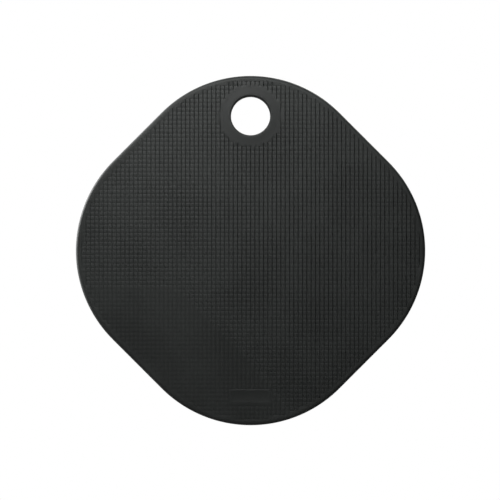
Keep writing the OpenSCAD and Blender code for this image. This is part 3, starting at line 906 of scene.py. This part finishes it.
@dataclass
class BackShell:
    """Back cover: rounded edge, plain back, hole for the tube, coin notch, ribs and snap nibs.

    The ribs are a ring about the middle and a fan of bars outside it. Their feet are sunk into the
    cover by the root.
    """

    shape: CoverShape
    material: bpy.types.Material
    back_y: float
    lip_y: float
    thickness: float = 1.0 * MM
    edge: float = 1.1 * MM
    hole: float = 3.3 * MM
    mouth: float = 0.12 * MM
    notch_radius: float = 3.5 * MM
    notch_depth: float = 0.9 * MM
    nib_y: float = 2.7 * MM
    nib_ball: float = 0.6 * MM
    nib_proud: float = 0.11 * MM
    rib_height: float = 0.2 * MM
    rib_root: float = 0.1 * MM
    rib_soft: float = 0.05 * MM
    ring_radii: tuple[float, float] = (6.8 * MM, 7.4 * MM)
    bar_count: int = 12
    bar_circle: float = 9.6 * MM
    bar_length: float = 4.2 * MM
    bar_width: float = 0.5 * MM

    def notched(self, points: list[Vector]) -> list[Vector]:
        """Lifts the lip's points round the coin notch at the bottom.

        Args:
            points: a ring of the lip. Its points are changed.

        Returns:
            The same ring.
        """
        flat = self.notch_radius - self.notch_depth
        for point in points:
            if point.z < self.shape.outline.centre_z and abs(point.x) < self.notch_radius:
                point.y += max(0.0, math.sqrt(self.notch_radius ** 2 - point.x ** 2) - flat)
        return points

    def bars(self) -> bpy.types.Mesh:
        """Builds the fan of stiffening bars inside the cover with Geometry Nodes.

        Returns:
            A mesh of all the bars.
        """
        recipe = GeometryRecipe("cover_ribs", {
            "Count": self.bar_count,
            "Circle": self.bar_circle,
            "Bar Length": self.bar_length,
            "Bar Width": self.bar_width,
            "Bar Height": self.rib_height + self.rib_root,
            "Middle Y": self.back_y - self.thickness - self.rib_height / 2 + self.rib_root / 2,
            "Centre Z": self.shape.outline.centre_z,
        })
        book = recipe.book
        spots = book.add("GeometryNodeMeshCircle", {}, {
            "Vertices": recipe.value("Count"), "Radius": recipe.value("Circle")})
        size = book.add("ShaderNodeCombineXYZ", sockets={
            0: recipe.value("Bar Length"), 1: recipe.value("Bar Width"), 2: recipe.value("Bar Height")})
        bar = book.add("GeometryNodeMeshCube", {}, {"Size": size.outputs[0]})
        index = Number(book, book.add("GeometryNodeInputIndex").outputs[0])
        turn = index * (2 * math.pi) / recipe.value("Count")
        spin = book.add("ShaderNodeCombineXYZ", sockets={2: turn})
        fan = book.add("GeometryNodeInstanceOnPoints", {}, {
            "Points": spots.outputs[0], "Instance": bar.outputs[0], "Rotation": spin.outputs[0]})
        real = book.add("GeometryNodeRealizeInstances", {}, {"Geometry": fan.outputs[0]})
        place = book.add("ShaderNodeCombineXYZ", sockets={
            1: recipe.value("Middle Y"), 2: recipe.value("Centre Z")})
        stood = book.add("GeometryNodeTransform", {}, {
            "Geometry": real.outputs[0], "Translation": place.outputs[0], "Rotation": (QUARTER_TURN, 0, 0)})
        return recipe.mesh(stood.outputs[0], self.material)

    def back(self, sculpt: Sculpt, floor_y: float) -> None:
        """Builds the back, its edge, the side wall and the hole as one closed skin.

        Args:
            sculpt: the mesh to add to.
            floor_y: the back's inner side.
        """
        shape, outline = self.shape, self.shape.outline
        edge_end = (shape.reach, self.back_y - self.edge)
        profile = quarter_round((shape.reach - self.edge, self.back_y), edge_end, True, steps=14)
        sides = [sculpt.ring(outline.loop(reach, y)) for reach, y in profile]
        lip = [(shape.reach, self.lip_y + shape.lip), (shape.reach - shape.lip, self.lip_y),
               (shape.inside + shape.lip, self.lip_y), (shape.inside, self.lip_y + shape.lip)]
        sides += [sculpt.ring(self.notched(outline.loop(reach, y))) for reach, y in lip]
        fillet_start = (shape.inside, floor_y - shape.fillet)
        fillet = quarter_round(fillet_start, (shape.inside - shape.fillet, floor_y), False, steps=5)
        sides += [sculpt.ring(outline.loop(reach, y)) for reach, y in fillet]
        sculpt.skin(sides)
        mouth_end = (self.hole, self.back_y - self.mouth)
        hole = quarter_round((self.hole + self.mouth, self.back_y), mouth_end, False, steps=5)
        rings = sculpt.lathe(Vector(), hole + [(self.hole, floor_y)])
        sculpt.fill([sides[0], rings[0]])
        sculpt.fill([sides[-1], rings[-1]])

    def build(self) -> bpy.types.Object:
        """Builds the cover.

        Returns:
            The cover's object.
        """
        sculpt = Sculpt()
        floor_y = self.back_y - self.thickness
        self.back(sculpt, floor_y)

        foot, top, soft = floor_y + self.rib_root, floor_y - self.rib_height, self.rib_soft
        inner, outer = self.ring_radii
        ring = [(outer, foot), (outer, top + soft), (outer - soft, top),
                (inner + soft, top), (inner, top + soft), (inner, foot)]
        sculpt.lathe(self.shape.outline.middle, ring, count=72, close=True)
        for place, _ in self.shape.on_flats(self.nib_ball - self.nib_proud, self.nib_y):
            made = bmesh.ops.create_uvsphere(sculpt.bm, u_segments=24, v_segments=16, radius=self.nib_ball)
            for vert in made["verts"]:
                vert.co += place
        sculpt.bm.from_mesh(self.bars())
        piece = sculpt.piece("back_shell", self.material)
        settle(piece, "rear_panel", "fine_plastic", "back_cover")
        return piece


# ---- Seals, pad and cell ----


@dataclass
class Seals:
    """Silicone rings round the chassis wall and the washer at the tube's end."""

    outline: Outline
    material: bpy.types.Material
    reach: tuple[float, float] = (13.64 * MM, 14.07 * MM)
    section_points: int = 14
    section_power: float = 0.7
    washer_bore: float = 2.5 * MM
    washer_soft: float = 0.06 * MM

    def section(self, step: int) -> tuple[float, float]:
        """Returns a point of the rings' rounded section, each way from minus one to one."""
        angle = 2 * math.pi * step / self.section_points
        both = (math.cos(angle), math.sin(angle))
        return tuple(math.copysign(abs(part) ** self.section_power, part) for part in both)

    def wall_ring(self, node: str, name: str) -> bpy.types.Object:
        """Builds a ring with a rounded section in the place of a packed one.

        Args:
            node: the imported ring.
            name: the piece's name.

        Returns:
            The ring's object.
        """
        low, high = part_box(node)
        middle_y, half_y = (low.y + high.y) / 2, (high.y - low.y) / 2
        middle, half = sum(self.reach) / 2, (self.reach[1] - self.reach[0]) / 2
        sculpt, rings = Sculpt(), []
        for step in range(self.section_points):
            out, back = self.section(step)
            rings.append(sculpt.ring(self.outline.loop(middle + half * out, middle_y + half_y * back)))
        sculpt.skin(rings, close=True)
        piece = sculpt.piece(name, self.material, sharp=60.0)
        settle(piece, "chassis", "silicone", node)
        return piece

    def washer(self) -> bpy.types.Object:
        """Builds the washer between the tube and the front cover.

        Returns:
            The washer's object.
        """
        low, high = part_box("eyelet_seal")
        outer, inner, soft = high.x, self.washer_bore, self.washer_soft
        profile = [
            (outer - soft, low.y), (outer, low.y + soft), (outer, high.y - soft), (outer - soft, high.y),
            (inner + soft, high.y), (inner, high.y - soft), (inner, low.y + soft), (inner + soft, low.y),
        ]
        sculpt = Sculpt()
        sculpt.lathe(Vector(), profile, count=72, close=True)
        piece = sculpt.piece("eyelet_washer", self.material, sharp=50.0)
        settle(piece, "chassis", "silicone", "eyelet_seal")
        return piece


@dataclass
class FoamPad:
    """Foam disc inside the back cover that holds the cell down."""

    material: bpy.types.Material
    crown: float = 0.12 * MM
    crown_shares: tuple[float, ...] = (0.1, 0.4, 0.7, 0.85, 0.93)
    shoulder_share: float = 0.96
    glued_edge: tuple[float, float] = (0.05 * MM, 0.03 * MM)

    def build(self) -> bpy.types.Object:
        """Builds the crowned disc.

        Returns:
            The pad's object.
        """
        low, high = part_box("cell_pad")
        middle = (low + high) / 2
        radius = (high.x - low.x) / 2
        profile = [(radius * share, low.y + self.crown * share ** 4) for share in self.crown_shares]
        shoulder = (radius * self.shoulder_share, low.y + self.crown)
        profile += quarter_round(shoulder, (radius, middle.y), True, steps=4)
        profile += [(radius, high.y - self.glued_edge[1]), (radius - self.glued_edge[0], high.y)]
        sculpt = Sculpt()
        sculpt.cap(sculpt.lathe(Vector((middle.x, 0, middle.z)), profile, count=72))
        piece = sculpt.piece("foam_pad", self.material)
        settle(piece, "rear_panel", "foam", "cell_pad")
        return piece


@dataclass
class CellCan:
    """Can of the coin cell, with rounded edges and a plus sign stamped in with sloping walls."""

    material: bpy.types.Material
    wall: float = 0.25 * MM
    drawn_edge: float = 0.45 * MM
    crimp: float = 0.3 * MM
    crimp_lip: tuple[float, float] = (0.55 * MM, 0.6 * MM)
    crimp_soft: float = 0.04 * MM
    crimp_depth: float = 0.35 * MM
    plus_half: float = 1.7 * MM
    plus_bar: float = 0.24 * MM
    plus_depth: float = 0.05 * MM

    def plus(self, middle: Vector, shrink: float, y: float) -> list[Vector]:
        """Walks round the plus sign.

        Args:
            middle: the sign's middle.
            shrink: how far inside the full sign the outline runs.
            y: its place along the thickness.

        Returns:
            The outline's points in order.
        """
        long, short = self.plus_half - shrink, self.plus_bar - shrink
        corner = ((long, -short), (long, short), (short, short))
        start = Vector((middle.x, y, middle.z))
        return [start + Sculpt.turned(Vector((x, 0, z)), quarter * QUARTER_TURN)
                for quarter in range(4) for x, z in corner]

    def section(self, radius: float, low_y: float, high_y: float) -> Profile:
        """Draws the can's section from its flat face over the crimped edge to the inside.

        Args:
            radius: the can's radius.
            low_y: the crimped edge's place along the thickness.
            high_y: the flat face's place.

        Returns:
            The section's points.
        """
        edge, inner = self.drawn_edge, radius - self.wall
        points = quarter_round((radius - edge, high_y), (radius, high_y - edge), True, steps=8)
        points += quarter_round((radius, low_y + self.crimp), (radius - self.crimp, low_y), False, steps=6)
        points.append((radius - self.crimp_lip[0], low_y))
        points.append((radius - self.crimp_lip[1], low_y + self.crimp_soft))
        points += [(inner, low_y + self.crimp_depth), (inner, high_y - self.wall)]
        return points

    def build(self) -> bpy.types.Object:
        """Builds the can.

        Returns:
            The can's object.
        """
        low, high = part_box("cell_can")
        middle = (low + high) / 2
        section = self.section((high.x - low.x) / 2, low.y, high.y)
        sculpt = Sculpt()
        rings = sculpt.lathe(Vector((middle.x, 0, middle.z)), section, count=128)
        sculpt.bm.faces.new(rings[-1])
        sign = [sculpt.ring(self.plus(middle, depth, high.y - depth)) for depth in (0.0, self.plus_depth)]
        sculpt.skin(sign)
        sculpt.fill([sign[-1]])
        sculpt.fill([rings[0], sign[0]])
        piece = sculpt.piece("cell_shell", self.material)
        settle(piece, "chassis", "cell_steel", "cell_can")
        return piece


# ---- Studio ----


@dataclass
class Lamp:
    """Soft round lamp, unseen by the camera. Its place is from the tag's middle."""

    name: str
    place: tuple[float, float, float]
    size: float
    power: float

    def hang(self, middle: Vector) -> None:
        """Hangs the lamp and aims it at the tag's middle.

        Args:
            middle: the tag's middle.
        """
        data = bpy.data.lights.new(self.name, "AREA")
        data.shape = "DISK"
        data.size = self.size
        data.energy = self.power
        lamp = bpy.data.objects.new(self.name, data)
        bpy.context.scene.collection.objects.link(lamp)
        lamp.location = middle + Vector(self.place)
        lamp.rotation_euler = (-Vector(self.place)).to_track_quat("-Z", "Y").to_euler()
        lamp.visible_camera = False


@dataclass
class Studio:
    """Pale floor, soft light and camera.

    The floor looks pale to the camera and throws little light back at the tag.
    """

    middle: Vector
    silhouette_y: float
    view_width: float = 60.80 * MM
    aim: tuple[float, float] = (-0.07 * MM, 0.07 * MM)
    distance: float = 1.05
    clip: tuple[float, float] = (0.01, 20.0)
    floor_drop: float = 45 * MM
    floor_half: float = 0.4
    floor_colour: Colour = (0.12, 0.12, 0.12)
    floor_roughness: float = 0.7
    floor_glow: Colour = (0.98, 0.98, 0.97)
    glow_share: float = 0.92
    ambient: float = 0.034
    rear_ambient: float = 0.03
    ambient_band: tuple[float, float] = (0.0, 0.8)

    def lamps(self) -> list[Lamp]:
        """Returns the lamps of the set."""
        return [
            Lamp("key_lamp", (-0.012, -0.055, 0.044), 0.04, 0.0272),
            Lamp("rear_lamp", (0.18, 0.32, 0.28), 0.25, 1.7),
            Lamp("side_lamp", (-0.25, 0.08, 0.09), 0.15, 1.4),
        ]

    def camera(self) -> None:
        """Sets the camera straight in front of the tag."""
        data = bpy.data.cameras.new("tag_camera")
        data.lens = data.sensor_width * self.distance / self.view_width
        data.clip_start, data.clip_end = self.clip
        camera = bpy.data.objects.new("tag_camera", data)
        bpy.context.scene.collection.objects.link(camera)
        right, up = self.aim
        camera.location = (self.middle.x + right, self.silhouette_y - self.distance, self.middle.z + up)
        camera.rotation_euler = (QUARTER_TURN, 0, 0)
        bpy.context.scene.camera = camera

    def floor(self, lowest: float) -> None:
        """Lays the pale floor under the tag.

        Args:
            lowest: the tag's lowest point.
        """
        half, level = self.floor_half, lowest - self.floor_drop
        corners = [(-half, -half, level), (half, -half, level), (half, half, level), (-half, half, level)]
        mesh = bpy.data.meshes.new("floor")
        mesh.from_pydata(corners, [], [(0, 1, 2, 3)])
        material = bpy.data.materials.new("pale_floor")
        material.use_nodes = True
        shader = material.node_tree.nodes["Principled BSDF"]
        shader.inputs["Base Color"].default_value = (*self.floor_colour, 1.0)
        shader.inputs["Roughness"].default_value = self.floor_roughness
        book = NodeBook(material.node_tree)
        seen = Number(book, book.add("ShaderNodeLightPath").outputs["Is Camera Ray"])
        glow = book.add("ShaderNodeEmission", {}, {"Color": (*self.floor_glow, 1.0), "Strength": 1.0})
        both = book.add("ShaderNodeMixShader", {}, {
            0: seen * self.glow_share, 1: shader.outputs[0], 2: glow.outputs[0],
        })
        book.feed(material.node_tree.nodes["Material Output"].inputs["Surface"], both.outputs[0])
        mesh.materials.append(material)
        floor = bpy.data.objects.new("floor", mesh)
        bpy.context.scene.collection.objects.link(floor)

    def world(self) -> None:
        """Sets a white backdrop and an even soft light that is stronger in front."""
        world = bpy.data.worlds.new("studio_world")
        bpy.context.scene.world = world
        world.use_nodes = True
        book = NodeBook(world.node_tree)
        world.node_tree.nodes.clear()
        _, y, _ = book.split(book.add("ShaderNodeTexCoord").outputs["Generated"])
        front = (0 - y).ramp(*self.ambient_band)
        seen = Number(book, book.add("ShaderNodeLightPath").outputs["Is Camera Ray"])
        light = front * (self.ambient - self.rear_ambient) + self.rear_ambient
        white = {"Color": (1.0, 1.0, 1.0, 1.0), "Strength": light * (1 - seen) + seen}
        backdrop = book.add("ShaderNodeBackground", {}, white)
        book.add("ShaderNodeOutputWorld", {}, {"Surface": backdrop.outputs[0]})

    def build(self, lowest: float) -> None:
        """Builds the whole set.

        Args:
            lowest: the tag's lowest point.
        """
        scene = bpy.context.scene
        scene.view_settings.view_transform = "Standard"
        scene.view_settings.look = "None"
        self.camera()
        self.floor(lowest)
        self.world()
        for lamp in self.lamps():
            lamp.hang(self.middle)


def main() -> None:
    """Builds the tag and its studio."""
    logging.basicConfig(level=logging.INFO, format="%(message)s")
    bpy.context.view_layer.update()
    low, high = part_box("front_cover")
    back_low, back_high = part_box("back_cover")
    cell_low, cell_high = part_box("cell_can")
    middle = Vector((0, 0, (low.z + high.z) / 2))
    wardrobe = Wardrobe(((cell_low.x + cell_high.x) / 2, (cell_low.z + cell_high.z) / 2))
    wardrobe.fill()
    wardrobe.dress_nodes()
    finish = wardrobe.materials

    reach = CoverShape.reach
    outline = Outline(middle.z, (high.x - low.x) / 2 - reach)
    shape = CoverShape(outline)
    face_y = -back_high.y
    GroovedFront(shape, finish["grooved_plastic"], face_y, high.y).build()
    BackShell(shape, finish["fine_plastic"], back_high.y, back_low.y).build()
    seals = Seals(outline, finish["silicone"])
    seals.wall_ring("front_seal", "front_ring_seal")
    seals.wall_ring("rear_seal", "rear_ring_seal")
    seals.washer()
    FoamPad(finish["foam"]).build()
    CellCan(finish["cell_steel"]).build()
    Studio(middle, face_y + GroovedFront.edge).build(low.z)


if __name__ == "__main__":
    main()
